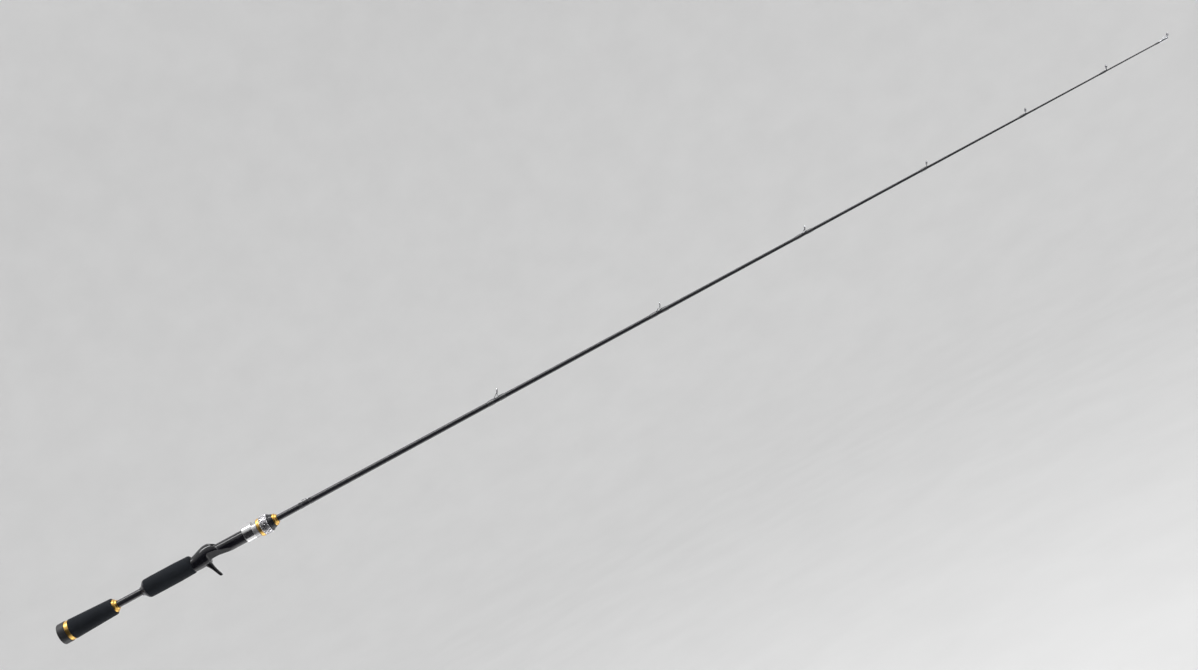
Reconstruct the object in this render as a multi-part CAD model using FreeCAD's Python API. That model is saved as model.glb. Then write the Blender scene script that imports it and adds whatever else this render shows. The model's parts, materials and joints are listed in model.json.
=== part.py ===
import FreeCAD, Part
import math
import os

# A one-piece casting rod, 1.83 m (6 ft) long, with a split foam grip and a trigger reel seat.
# Millimetres. X runs along the blank from the butt end (x = 0) to the tip, +Z is the side that
# carries the reel and the line guides, and the trigger points to -Z. Each sub-part is one file.

V = FreeCAD.Vector
AXIS = V(1, 0, 0)
FAR = 60.0  # half size of a cutting tool that has to reach past everything

# ---- driving dimensions -------------------------------------------------------------------

# Blank: (x, outer radius), a hollow taper. The wall thins with the radius.
BLANK_STATIONS = [
    (2.5, 5.80), (120.0, 5.35), (355.0, 4.65), (770.0, 3.60), (1060.0, 2.75),
    (1290.0, 2.05), (1465.0, 1.55), (1640.0, 1.15), (1824.0, 0.85),
]
BLANK_WALL_SHARE = 0.28  # wall thickness as a share of the outer radius
BLANK_WALL_LEAST = 0.40

# Butt and grips.
BUTT_RADIUS = 15.8
BUTT_CAP_END = 11.9
TRIM_END = 18.0
TRIM_RADIUS = 15.0
SPIGOT_RADIUS = 12.6
REAR_GRIP_END = 87.4
REAR_CHECK_END = 93.2
COLLAR_START = 132.0
COLLAR_END = 142.0
MAIN_GRIP_RADIUS = 14.4
MAIN_GRIP_END = 217.0

# Reel seat.
SEAT_START = 200.0
SEAT_BORE = 5.6
BARREL_RADIUS = 9.8
BARREL_END = 315.0
THREAD_MAJOR = 8.6
THREAD_MINOR = 7.9
THREAD_PITCH = 2.0
THREAD_START = 319.5
THREAD_LENGTH = 29.0
SEAT_END = 350.7
FOOT_HALF_WIDTH = 8.4  # of the pockets that the reel foot slides into
FIXED_POCKET = (243.5, 275.0)  # closed and open end of the fixed hood's pocket
KEYWAY_START = 284.0
KEYWAY_HALF_WIDTH = 1.6
KEYWAY_FLOOR = 8.9
KEY_CLEARANCE = 0.15
ARBOR_SPANS = [(206.0, 226.0), (266.0, 286.0), (328.0, 348.0)]

# Sliding hood and lock nut, at the open end of their travel.
HOOD_START = 304.0
HOOD_END = 318.4
HOOD_BORE = 10.1
HOOD_CENTRE = 1.0  # how far the hood's oval is raised above the blank's axis
HOOD_SEMI_Y = 12.3
HOOD_SEMI_Z = 13.0
COVER_WALL = 0.5
HOOD_POCKET = 10.0  # how deep the reel foot goes in
SKIRT_RADIUS = 11.3
NECK_RADIUS = 10.5  # of the groove behind the flange that the nut snaps over
FLANGE_RADIUS = 11.1
FLANGE_START = 328.1
FLANGE_END = 329.6
SKIRT_END = 325.6
NUT_START = 326.0
NUT_END = 350.4
NUT_SEAT_RADIUS = 12.0
NUT_BORE = 8.9
NUT_LIP_RADIUS = 12.9
NUT_CONE_RADIUS = 13.0
NUT_TRIM_START = 326.7
KNURL_START = 331.4
KNURL_END = 343.4
KNURL_CROWN = 14.5
FRONT_CHECK_START = 351.0
FRONT_CHECK_END = 356.4

# Line guides: ring centre x and z, insert outer and bore radius, and how many feet.
GUIDE_LEAN = 25.0  # degrees by which each ring leans towards the tip
GUIDES = [
    dict(x=724.5, z=11.6, insert=4.00, bore=2.90, feet=2),
    dict(x=992.5, z=9.9, insert=3.00, bore=2.15, feet=2),
    dict(x=1230.5, z=7.6, insert=2.75, bore=1.95, feet=2),
    dict(x=1431.0, z=6.4, insert=2.75, bore=1.95, feet=1),
    dict(x=1594.0, z=5.9, insert=2.60, bore=1.85, feet=1),
    dict(x=1727.0, z=5.5, insert=2.50, bore=1.75, feet=1),
]
TIP_TOP = dict(x=1827.4, z=4.1, insert=2.60, bore=1.85)
TIP_TUBE = (1812.0, 1826.2)
TIP_TUBE_RADIUS = 1.45
TIP_BRACE_RADIUS = 0.42
FRAME_RIM = 0.62  # radial width of a guide frame's ring
FRAME_DEPTH = 1.3
SHEET = 0.8  # thickness of a guide frame's legs
INSERT_DEPTH = 1.5
FOOT_LENGTH = 10.0
GUIDE_FOOT_HALF_WIDTH = 1.25
GUIDE_FOOT_END_HALF_WIDTH = 0.7
BRACE_BASE = 5.6  # from a front leg's foot back to its brace's foot
BRACE_SPREAD = 62.0  # degrees from the ring's lowest point to where a brace meets it
LEG_SPREAD = 38.0
TIP_BRACE_SPREAD = 80.0
WRAP_TAPER = 1.6
WRAP_EDGE = 0.12  # thickness of a whipping at its ends
WRAP_GAP = 1.2  # from a leg to its whipping
WRAP_OVERRUN = 1.8  # of a whipping past the end of its foot

KEEPER_START = 399.0
KEEPER_END = 407.5
KEEPER_WIRE = 0.55
KEEPER_HEIGHT = 2.9
KEEPER_TAIL = 5.5  # length of the wire's ends under the whippings
KEEPER_TURN = 35.0  # degrees round the blank from +Z towards -Y


# ---- helpers ------------------------------------------------------------------------------

def outline(points, place=lambda a, b: V(a, 0, b), closed=True):
    """A wire of lines through points (a, b, radius of the arc that rounds the corner)."""
    corners = [(V(p[0], p[1], 0), p[2] if len(p) > 2 else 0.0) for p in points]
    count = len(corners)
    stops = []
    for i, (corner, radius) in enumerate(corners):
        if radius == 0 or (not closed and i in (0, count - 1)):
            stops.append((corner, None, corner))
            continue
        back = (corners[i - 1][0] - corner).normalize()
        ahead = (corners[(i + 1) % count][0] - corner).normalize()
        half = back.getAngle(ahead) / 2
        reach = radius / math.tan(half)
        sagitta = radius / math.sin(half) - radius
        middle = corner + (back + ahead).normalize() * sagitta
        stops.append((corner + back * reach, middle, corner + ahead * reach))
    edges = []
    for i, (arrive, middle, leave) in enumerate(stops):
        if middle:
            arc = [place(p.x, p.y) for p in (arrive, middle, leave)]
            edges.append(Part.Arc(*arc).toShape())
        if not closed and i == count - 1:
            break
        onward = stops[(i + 1) % count][0]
        if (onward - leave).Length > 1e-6:
            edges.append(Part.makeLine(place(leave.x, leave.y), place(onward.x, onward.y)))
    return Part.Wire(edges)


def turned(points):
    """A solid turned about the X axis from a closed outline of (x, radius, corner round)."""
    return Part.Face(outline(points)).revolve(V(0, 0, 0), AXIS, 360)


def cylinder(radius, start, end):
    return Part.makeCylinder(radius, end - start, V(start, 0, 0), AXIS)


def box(x0, x1, y0, y1, z0, z1):
    return Part.makeBox(x1 - x0, y1 - y0, z1 - z0, V(x0, y0, z0))


def oval(x, centre_z, semi_y, semi_z):
    """A closed oval wire across the X axis."""
    matrix = FreeCAD.Matrix()
    matrix.scale(1, semi_y, semi_z)
    matrix.move(V(x, 0, centre_z))
    return Part.Wire(Part.makeCircle(1, V(0, 0, 0), AXIS).transformGeometry(matrix))


def oval_prism(start, end, centre_z, semi_y, semi_z):
    return Part.Face(oval(start, centre_z, semi_y, semi_z)).extrude(V(end - start, 0, 0))


def rectangle(centre, along, across, half_along, half_across):
    """A closed rectangular wire about a centre, spanned by two unit vectors."""
    corners = [
        centre + along * (half_along * a) + across * (half_across * b)
        for a, b in ((-1, -1), (1, -1), (1, 1), (-1, 1), (-1, -1))
    ]
    return Part.makePolygon(corners)


def bar(first, second):
    """A straight-sided solid between two wires."""
    return Part.makeLoft([first, second], True, True)


def blank_radius(x):
    for (x0, r0), (x1, r1) in zip(BLANK_STATIONS, BLANK_STATIONS[1:]):
        if x <= x1:
            return r0 + (r1 - r0) * (x - x0) / (x1 - x0)
    return BLANK_STATIONS[-1][1]


def blank_core():
    """The blank as if it were solid, which is what everything on it is bored to."""
    first, last = BLANK_STATIONS[0][0], BLANK_STATIONS[-1][0]
    return turned([(first, 0), *BLANK_STATIONS, (last, 0)])


CORE = blank_core()


def joined(*shapes):
    """Shapes fused into one, bored to the blank."""
    whole = shapes[0].fuse(list(shapes[1:])) if len(shapes) > 1 else shapes[0]
    return whole.cut(CORE).removeSplitter()


# ---- blank, butt and grips ----------------------------------------------------------------

def blank():
    inner = [
        (x, r - max(r * BLANK_WALL_SHARE, BLANK_WALL_LEAST)) for x, r in BLANK_STATIONS
    ]
    return turned(BLANK_STATIONS + inner[::-1])


def butt_cap():
    return joined(turned([
        (0, 0), (0, BUTT_RADIUS, 1.2), (BUTT_CAP_END, BUTT_RADIUS, 0.3),
        (BUTT_CAP_END, SPIGOT_RADIUS), (TRIM_END, SPIGOT_RADIUS), (TRIM_END, 0),
    ]))


def butt_trim_ring():
    return turned([
        (BUTT_CAP_END, SPIGOT_RADIUS), (BUTT_CAP_END, TRIM_RADIUS, 0.5),
        (TRIM_END, TRIM_RADIUS, 0.5), (TRIM_END, SPIGOT_RADIUS),
    ])


def rear_grip():
    return joined(turned([
        (TRIM_END, 0), (TRIM_END, 15.3, 0.5), (46.0, 14.1, 120.0),
        (REAR_GRIP_END, 12.6, 2.2), (REAR_GRIP_END, 0),
    ]))


def rear_winding_check():
    return joined(turned([
        (REAR_GRIP_END, 0), (REAR_GRIP_END, 10.0, 0.4), (REAR_GRIP_END + 2.4, 9.8, 1.0),
        (REAR_GRIP_END + 3.6, 7.4, 0.8), (REAR_CHECK_END, 6.9, 0.5), (REAR_CHECK_END, 0),
    ]))


def main_grip_collar():
    return joined(turned([
        (COLLAR_START, 0), (COLLAR_START, 6.6, 0.5), (COLLAR_START + 1.8, 6.9, 1.5),
        (COLLAR_END - 2.2, 13.3, 2.0), (COLLAR_END, MAIN_GRIP_RADIUS - 0.2, 0.3), (COLLAR_END, 0),
    ]))


def main_grip(seat):
    foam = turned([
        (COLLAR_END, 0), (COLLAR_END, MAIN_GRIP_RADIUS - 0.3, 0.6),
        (150.0, MAIN_GRIP_RADIUS, 60.0), (190.0, MAIN_GRIP_RADIUS, 60.0),
        (MAIN_GRIP_END, MAIN_GRIP_RADIUS - 0.8, 4.0), (MAIN_GRIP_END, 0),
    ])
    return joined(foam.cut(seat).cut(cylinder(SEAT_BORE, SEAT_START, MAIN_GRIP_END)))


# ---- reel seat ----------------------------------------------------------------------------

def seat_shell():
    """The palm swell and fixed hood: ovals (x, top, bottom, half width) lofted along X."""
    sections = [
        (SEAT_START, 8.4, -10.6, 10.0), (214.0, 8.8, -12.2, 10.8),
        (228.0, 12.6, -12.8, 11.8), (241.0, 16.4, -11.8, 12.5),
        (251.0, 15.8, -10.9, 11.8), (262.0, 13.4, -10.5, 10.8), (274.0, 12.4, -10.4, 10.6),
    ]
    wires = [
        oval(x, (top + bottom) / 2, half_width, (top - bottom) / 2)
        for x, top, bottom, half_width in sections
    ]
    return Part.makeLoft(wires, True)


def across_y(points):
    """A prism through the whole width from a closed side outline of (x, z, corner round)."""
    side = outline(points, lambda a, b: V(a, -FAR, b))
    return Part.Face(side).extrude(V(0, 2 * FAR, 0))


def hood_mouth():
    """What is cut away in front of the fixed hood's sloping lip."""
    return across_y([
        (246.2, FAR), (246.2, 17.4), (257.0, 9.0, 3.0), (262.5, 0, 12.0),
        (269.0, -14.0), (SEAT_END, -14.0), (SEAT_END, FAR),
    ])


def finger_scoop():
    """The hollow in front of the trigger: one cut from below and one from each lower side."""
    hollow = across_y([
        (241.6, -FAR), (241.6, -6.6, 4.5), (256.5, -6.6, 15.0), (283.5, -10.6), (283.5, -FAR),
    ])
    sides = []
    for turn in (-50.0, 50.0):
        side = hollow.copy()
        side.rotate(V(0, 0, 0), AXIS, turn)
        sides.append(side)
    return hollow.fuse(sides)


def foot_pocket(closed_end, open_end, closed_radius, open_radius):
    """The curved slot over the barrel that one end of a reel foot slides into."""
    start, length = min(closed_end, open_end), abs(open_end - closed_end)
    radii = (closed_radius, open_radius) if closed_end < open_end else (open_radius, closed_radius)
    cone = Part.makeCone(*radii, length, V(start, 0, 0), AXIS)
    slot = box(start, start + length, -FOOT_HALF_WIDTH, FOOT_HALF_WIDTH, 0, FAR)
    return cone.common(slot)


def trigger():
    """The finger hook: level ovals (z, middle x, half length, half width) lofted downwards."""
    sections = [
        (-4.0, 235.2, 6.0, 8.0), (-9.5, 235.4, 5.9, 7.0), (-13.5, 237.2, 4.6, 5.3),
        (-18.5, 239.4, 3.3, 4.4), (-25.0, 241.9, 2.6, 4.0), (-31.0, 244.3, 2.4, 3.8),
        (-33.8, 245.4, 1.9, 3.0), (-34.7, 245.7, 0.8, 1.6),
    ]
    wires = []
    for z, middle, half_length, half_width in sections:
        matrix = FreeCAD.Matrix()
        matrix.scale(half_length, half_width, 1)
        matrix.move(V(middle, 0, z))
        circle = Part.makeCircle(1, V(0, 0, 0), V(0, 0, 1))
        wires.append(Part.Wire(circle.transformGeometry(matrix)))
    return Part.makeLoft(wires, True)


def thread():
    """A right-hand helical ridge on the front of the seat."""
    root = THREAD_MINOR - 0.3
    path = Part.makeHelix(THREAD_PITCH, THREAD_LENGTH, root)
    ridge = Part.makePolygon([
        V(root, 0, -0.75), V(THREAD_MAJOR, 0, -0.3), V(THREAD_MAJOR, 0, 0.3),
        V(root, 0, 0.75), V(root, 0, -0.75),
    ])
    screw = Part.Wire(path.Edges).makePipeShell([ridge], True, True)
    screw.rotate(V(0, 0, 0), V(0, 1, 0), 90)
    screw.translate(V(THREAD_START, 0, 0))
    return screw


def reel_seat_body():
    barrel = cylinder(BARREL_RADIUS, 236.0, BARREL_END)
    palm = seat_shell().cut(hood_mouth()).fuse(barrel).cut(finger_scoop())
    pocket = foot_pocket(*FIXED_POCKET, 12.2, 15.0)
    palm = palm.cut(pocket.cut(cylinder(BARREL_RADIUS, SEAT_START, SEAT_END))).fuse(trigger())
    nose = cylinder(THREAD_MINOR, BARREL_END - 1.0, SEAT_END).fuse(thread())
    keyway = box(KEYWAY_START, SEAT_END, -KEYWAY_HALF_WIDTH, KEYWAY_HALF_WIDTH, -FAR, -KEYWAY_FLOOR)
    bore = cylinder(SEAT_BORE, SEAT_START - 1.0, SEAT_END + 1.0)
    return palm.fuse(nose).cut(keyway).cut(bore)


def seat_arbors():
    """Bushings that centre the seat on the blank."""
    return Part.makeCompound([joined(cylinder(SEAT_BORE, a, b)) for a, b in ARBOR_SPANS])


def sliding_hood():
    sleeve = oval_prism(
        HOOD_START, HOOD_END, HOOD_CENTRE, HOOD_SEMI_Y - COVER_WALL, HOOD_SEMI_Z - COVER_WALL
    )
    skirt = turned([
        (HOOD_END - 1.0, 0), (HOOD_END - 1.0, SKIRT_RADIUS), (SKIRT_END, SKIRT_RADIUS, 0.3),
        (SKIRT_END, NECK_RADIUS), (FLANGE_START, NECK_RADIUS), (FLANGE_START, FLANGE_RADIUS, 0.2),
        (FLANGE_END, FLANGE_RADIUS, 0.2), (FLANGE_END, 0),
    ])
    hollow = cylinder(HOOD_BORE, HOOD_START - 1.0, SKIRT_END + 10.0)
    half_key = KEYWAY_HALF_WIDTH - KEY_CLEARANCE
    key = box(
        HOOD_START + 0.5, HOOD_START + 10.5, -half_key, half_key,
        -HOOD_BORE - 0.5, -KEYWAY_FLOOR - 0.2,
    )
    pocket = foot_pocket(HOOD_START + HOOD_POCKET, HOOD_START, 11.3, 13.0)
    body = sleeve.fuse(skirt).cut(hollow).cut(pocket)
    return body.fuse(key).removeSplitter()


def hood_cover():
    """The polished sleeve over the sliding hood."""
    outside = oval_prism(HOOD_START - 0.3, HOOD_END, HOOD_CENTRE, HOOD_SEMI_Y, HOOD_SEMI_Z)
    inside = oval_prism(
        HOOD_START - 0.3, HOOD_END, HOOD_CENTRE, HOOD_SEMI_Y - COVER_WALL, HOOD_SEMI_Z - COVER_WALL
    )
    return outside.cut(inside)


def lock_nut():
    """The nut's body: a lip keeps it on the hood's flange, and its bore clears the thread."""
    lip = NECK_RADIUS + 0.3
    groove = FLANGE_RADIUS + 0.3
    return turned([
        (NUT_START, lip), (NUT_START, NUT_LIP_RADIUS, 0.3), (NUT_TRIM_START, NUT_LIP_RADIUS),
        (NUT_TRIM_START, NUT_SEAT_RADIUS), (KNURL_END, NUT_SEAT_RADIUS),
        (KNURL_END, NUT_CONE_RADIUS, 0.4), (KNURL_END + 1.2, NUT_CONE_RADIUS, 0.8),
        (KNURL_END + 3.0, 11.4, 2.0),
        (NUT_END, 9.9, 0.6), (NUT_END, NUT_BORE), (FLANGE_END + 0.3, NUT_BORE),
        (FLANGE_END + 0.3, groove), (FLANGE_START - 0.2, groove), (FLANGE_START - 0.2, lip),
    ])


def nut_trim_ring():
    return turned([
        (NUT_TRIM_START, NUT_SEAT_RADIUS), (NUT_TRIM_START, 13.5, 0.6),
        (KNURL_START, 13.7, 0.6), (KNURL_START, NUT_SEAT_RADIUS),
    ])


def nut_knurled_ring():
    return turned([
        (KNURL_START, NUT_SEAT_RADIUS), (KNURL_START, 13.6, 0.3),
        (KNURL_START + 2.1, KNURL_CROWN, 2.0), (KNURL_END - 2.1, KNURL_CROWN, 2.0),
        (KNURL_END, 13.5, 0.3), (KNURL_END, NUT_SEAT_RADIUS),
    ])


def front_winding_check():
    return joined(turned([
        (FRONT_CHECK_START, 0), (FRONT_CHECK_START, 9.2, 0.5), (FRONT_CHECK_START + 2.4, 9.1, 0.9),
        (FRONT_CHECK_START + 3.4, 7.4, 0.7), (FRONT_CHECK_END, 6.7, 0.6), (FRONT_CHECK_END, 0),
    ]))


# ---- hook keeper, guides and tip-top ------------------------------------------------------

def wrap(start, end, turn=0.0, lift=0.35, cover=0.55):
    """A whipping of thread over the blank and a foot; it stands proud on the foot's side."""
    sections = [
        (start, WRAP_EDGE, 0.0), (start + WRAP_TAPER, cover, lift),
        (end - WRAP_TAPER, cover, lift), (end, WRAP_EDGE, 0.0),
    ]
    wires = []
    for x, proud, raised in sections:
        circle = Part.makeCircle(blank_radius(x) + proud, V(x, 0, raised), AXIS)
        wires.append(Part.Wire(circle))
    sleeve = Part.makeLoft(wires, True, True)
    sleeve.rotate(V(0, 0, 0), AXIS, turn)
    return sleeve


def hook_keeper():
    low = blank_radius(KEEPER_START) + KEEPER_WIRE - 0.15
    high = low + KEEPER_HEIGHT
    first, last = KEEPER_START - KEEPER_TAIL, KEEPER_END + KEEPER_TAIL
    wire = outline([
        (first, low), (KEEPER_START, low, 0.9), (KEEPER_START + 1.6, high, 1.3),
        (KEEPER_END - 1.6, high, 1.3), (KEEPER_END, low, 0.9), (last, low),
    ], closed=False)
    section = Part.Wire(Part.makeCircle(KEEPER_WIRE, V(first, 0, low), AXIS))
    rod = wire.makePipeShell([section], True, False)
    rod.rotate(V(0, 0, 0), AXIS, KEEPER_TURN)
    return joined(rod)


def hook_keeper_wraps(keeper):
    reach, gap = KEEPER_TAIL + 1.5, 0.8
    spans = [(KEEPER_START - reach, KEEPER_START - gap), (KEEPER_END + gap, KEEPER_END + reach)]
    sleeves = [joined(wrap(a, b, KEEPER_TURN, 0.45, 0.75)).cut(keeper) for a, b in spans]
    return Part.makeCompound(sleeves)


def leaned(shape, ring):
    """Moves a shape from an upright ring plane at the origin to a guide's own ring."""
    shape.rotate(V(0, 0, 0), V(0, 1, 0), GUIDE_LEAN)
    shape.translate(V(ring["x"], 0, ring["z"]))
    return shape


def guide_ring(ring):
    """The hard insert that the line runs through."""
    half = INSERT_DEPTH / 2
    return leaned(turned([
        (-half, ring["bore"], 0.35), (half, ring["bore"], 0.35),
        (half, ring["insert"], 0.12), (-half, ring["insert"], 0.12),
    ]), ring)


def frame_rim(ring):
    half, outer = FRAME_DEPTH / 2, ring["insert"] + FRAME_RIM
    return leaned(turned([
        (-half, ring["insert"]), (half, ring["insert"]),
        (half, outer, 0.3), (-half, outer, 0.3),
    ]), ring)


def leg_base(ring):
    """Where the ring's plane meets the top of the blank, as (x, z)."""
    lean = math.tan(math.radians(GUIDE_LEAN))
    z = blank_radius(ring["x"])
    return ring["x"] - (ring["z"] - z) * lean, z


def plane_leg(ring, side, spread):
    """A leg in the ring's plane, from the rim at a side angle down to the foot."""
    x, z = leg_base(ring)
    drop = (ring["z"] - z) / math.cos(math.radians(GUIDE_LEAN))
    angle = math.radians(spread) * side
    reach = ring["insert"] + FRAME_RIM * 0.6
    top = V(0, math.sin(angle) * reach, -math.cos(angle) * reach)
    foot = V(0, side * 0.5, -drop - 0.2)
    across, depth = V(0, 1, 0), V(1, 0, 0)
    half_top = 0.55 if side else 0.9
    leg = bar(
        rectangle(top, across, depth, half_top, SHEET / 2),
        rectangle(foot, across, depth, 0.7, SHEET / 2),
    )
    return leaned(leg, ring)


def brace(ring, side):
    """A leg from the lower side of the rim back to the rear foot."""
    x, z = leg_base(ring)
    lean = math.radians(GUIDE_LEAN)
    reach = ring["insert"] + FRAME_RIM * 0.5
    angle = math.radians(BRACE_SPREAD) * side
    local = V(0, math.sin(angle) * reach, -math.cos(angle) * reach)
    top = V(ring["x"] + local.z * math.sin(lean), local.y, ring["z"] + local.z * math.cos(lean))
    foot = V(x - BRACE_BASE, side * 0.5, z + 0.1)
    across = V(0, 1, 0)
    run = (top - foot).normalize()
    thick = run.cross(across).normalize()
    return bar(
        rectangle(top, across, thick, 0.5, SHEET / 2),
        rectangle(foot, across, thick, 0.7, SHEET / 2),
    )


def foot(x, direction, length=FOOT_LENGTH):
    """A foot along the blank that thins and narrows to its end."""
    end = x + direction * length
    across, up = V(0, 1, 0), V(0, 0, 1)
    near, far = blank_radius(x), blank_radius(end)
    return bar(
        rectangle(V(x - direction * 0.5, 0, near - 0.2), across, up, GUIDE_FOOT_HALF_WIDTH, 0.8),
        rectangle(V(end, 0, far - 0.2), across, up, GUIDE_FOOT_END_HALF_WIDTH, 0.42),
    )


def guide_frame(ring):
    x, _ = leg_base(ring)
    pieces = [frame_rim(ring)]
    if ring["feet"] == 2:
        pieces += [plane_leg(ring, 0, 0.0), foot(x, 1)]
        pieces += [brace(ring, side) for side in (-1, 1)]
        pieces += [foot(x - BRACE_BASE, -1)]
    else:
        pieces += [plane_leg(ring, side, LEG_SPREAD) for side in (-1, 1)]
        pieces += [foot(x, -1)]
    hole = leaned(cylinder(ring["insert"], -FAR / 10, FAR / 10), ring)
    return joined(*pieces).cut(hole).removeSplitter()


def guide_wraps(ring, frame):
    x, _ = leg_base(ring)
    reach = FOOT_LENGTH + WRAP_OVERRUN
    if ring["feet"] == 2:
        back = x - BRACE_BASE
        spans = [(x + WRAP_GAP, x + reach), (back - reach, back - WRAP_GAP)]
    else:
        spans = [(x - reach, x - WRAP_GAP)]
    return Part.makeCompound([joined(wrap(a, b)).cut(frame) for a, b in spans])


def tip_top_frame():
    ring = TIP_TOP
    start, end = TIP_TUBE
    tube = turned([
        (start, 0), (start, TIP_TUBE_RADIUS, 0.2), (end, TIP_TUBE_RADIUS, 0.9), (end, 0),
    ])
    pieces = [frame_rim(ring), tube]
    lean = math.radians(GUIDE_LEAN)
    reach = ring["insert"] + FRAME_RIM * 0.5
    for side in (-1, 1):
        angle = math.radians(TIP_BRACE_SPREAD) * side
        height = -math.cos(angle) * reach
        top = V(ring["x"] + height * math.sin(lean), math.sin(angle) * reach,
                ring["z"] + height * math.cos(lean))
        root = V(start + 3.0, side * 0.6, TIP_TUBE_RADIUS - 0.5)
        run = top - root
        pieces.append(Part.makeCylinder(TIP_BRACE_RADIUS, run.Length, root, run))
    hole = leaned(cylinder(ring["insert"], -FAR / 10, FAR / 10), ring)
    return joined(*pieces).cut(hole).removeSplitter()


def tip_top_wrap(frame):
    start = TIP_TUBE[0]
    return joined(wrap(start - 7.0, start + 1.8, lift=0.0, cover=0.75)).cut(frame)


# ---- write --------------------------------------------------------------------------------

def build():
    parts = {
        "blank": blank(),
        "butt_cap": butt_cap(),
        "butt_trim_ring": butt_trim_ring(),
        "rear_grip": rear_grip(),
        "rear_winding_check": rear_winding_check(),
        "main_grip_collar": main_grip_collar(),
        "reel_seat_body": reel_seat_body(),
        "seat_arbors": seat_arbors(),
        "sliding_hood": sliding_hood(),
        "hood_cover": hood_cover(),
        "lock_nut": lock_nut(),
        "nut_trim_ring": nut_trim_ring(),
        "nut_knurled_ring": nut_knurled_ring(),
        "front_winding_check": front_winding_check(),
        "hook_keeper": hook_keeper(),
    }
    parts["main_grip"] = main_grip(parts["reel_seat_body"])
    parts["hook_keeper_wraps"] = hook_keeper_wraps(parts["hook_keeper"])
    for number, ring in enumerate(GUIDES, 1):
        frame = guide_frame(ring)
        parts[f"guide_{number}_frame"] = frame
        parts[f"guide_{number}_ring"] = guide_ring(ring)
        parts[f"guide_{number}_wraps"] = guide_wraps(ring, frame)
    parts["tip_top_frame"] = tip_top_frame()
    parts["tip_top_ring"] = guide_ring(TIP_TOP)
    parts["tip_top_wrap"] = tip_top_wrap(parts["tip_top_frame"])
    return parts


os.makedirs("parts", exist_ok=True)
for name, shape in build().items():
    print(f"{name}: {len(shape.Solids)} solid(s), {shape.Volume:.1f} mm3, valid {shape.isValid()}")
    shape.exportStep(f"parts/{name}.step")
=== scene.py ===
import json
import math

import bmesh
import bpy
import numpy as np
from mathutils import Matrix, Vector, noise


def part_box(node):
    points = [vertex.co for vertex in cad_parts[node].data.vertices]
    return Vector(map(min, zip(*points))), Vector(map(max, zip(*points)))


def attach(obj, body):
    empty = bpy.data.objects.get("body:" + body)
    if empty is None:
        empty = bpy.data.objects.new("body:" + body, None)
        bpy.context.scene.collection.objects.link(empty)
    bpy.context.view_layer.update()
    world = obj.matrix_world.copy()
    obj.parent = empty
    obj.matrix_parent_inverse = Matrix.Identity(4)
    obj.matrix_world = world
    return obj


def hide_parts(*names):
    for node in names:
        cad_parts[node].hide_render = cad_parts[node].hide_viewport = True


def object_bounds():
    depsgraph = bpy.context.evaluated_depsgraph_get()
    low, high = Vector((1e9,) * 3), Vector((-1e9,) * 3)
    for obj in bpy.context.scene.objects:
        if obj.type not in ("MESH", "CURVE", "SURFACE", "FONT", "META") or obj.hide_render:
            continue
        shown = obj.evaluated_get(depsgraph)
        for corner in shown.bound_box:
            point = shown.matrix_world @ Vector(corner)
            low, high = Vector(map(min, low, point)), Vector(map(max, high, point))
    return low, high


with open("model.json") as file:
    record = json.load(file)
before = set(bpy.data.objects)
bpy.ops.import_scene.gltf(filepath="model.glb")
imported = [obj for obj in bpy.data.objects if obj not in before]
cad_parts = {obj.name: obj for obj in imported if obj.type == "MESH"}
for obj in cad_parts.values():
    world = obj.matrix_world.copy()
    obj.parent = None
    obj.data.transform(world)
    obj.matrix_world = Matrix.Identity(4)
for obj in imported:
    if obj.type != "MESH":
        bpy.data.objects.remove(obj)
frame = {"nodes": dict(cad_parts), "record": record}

CAD_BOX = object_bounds()
MIDDLE = (CAD_BOX[0].x + CAD_BOX[1].x) / 2  # halfway along the rod
SCENE = bpy.context.scene
RECORD = frame["record"]
NODES = frame["nodes"]
MOUNTS = {mount["name"]: mount for mount in RECORD["mounts"]}
SLOTS = {part["node"]: part["material_slot"] for part in RECORD["subparts"]}
BODIES = {node: body for body, nodes in RECORD["behaviour"]["bodies"].items() for node in nodes}

# Every length is in metres.
MM = 0.001
TINY = 1e-6  # points nearer than this are one point
FULL_TURN = 2 * math.pi


# ---- helpers: node graphs -----------------------------------------------------------------

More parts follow.
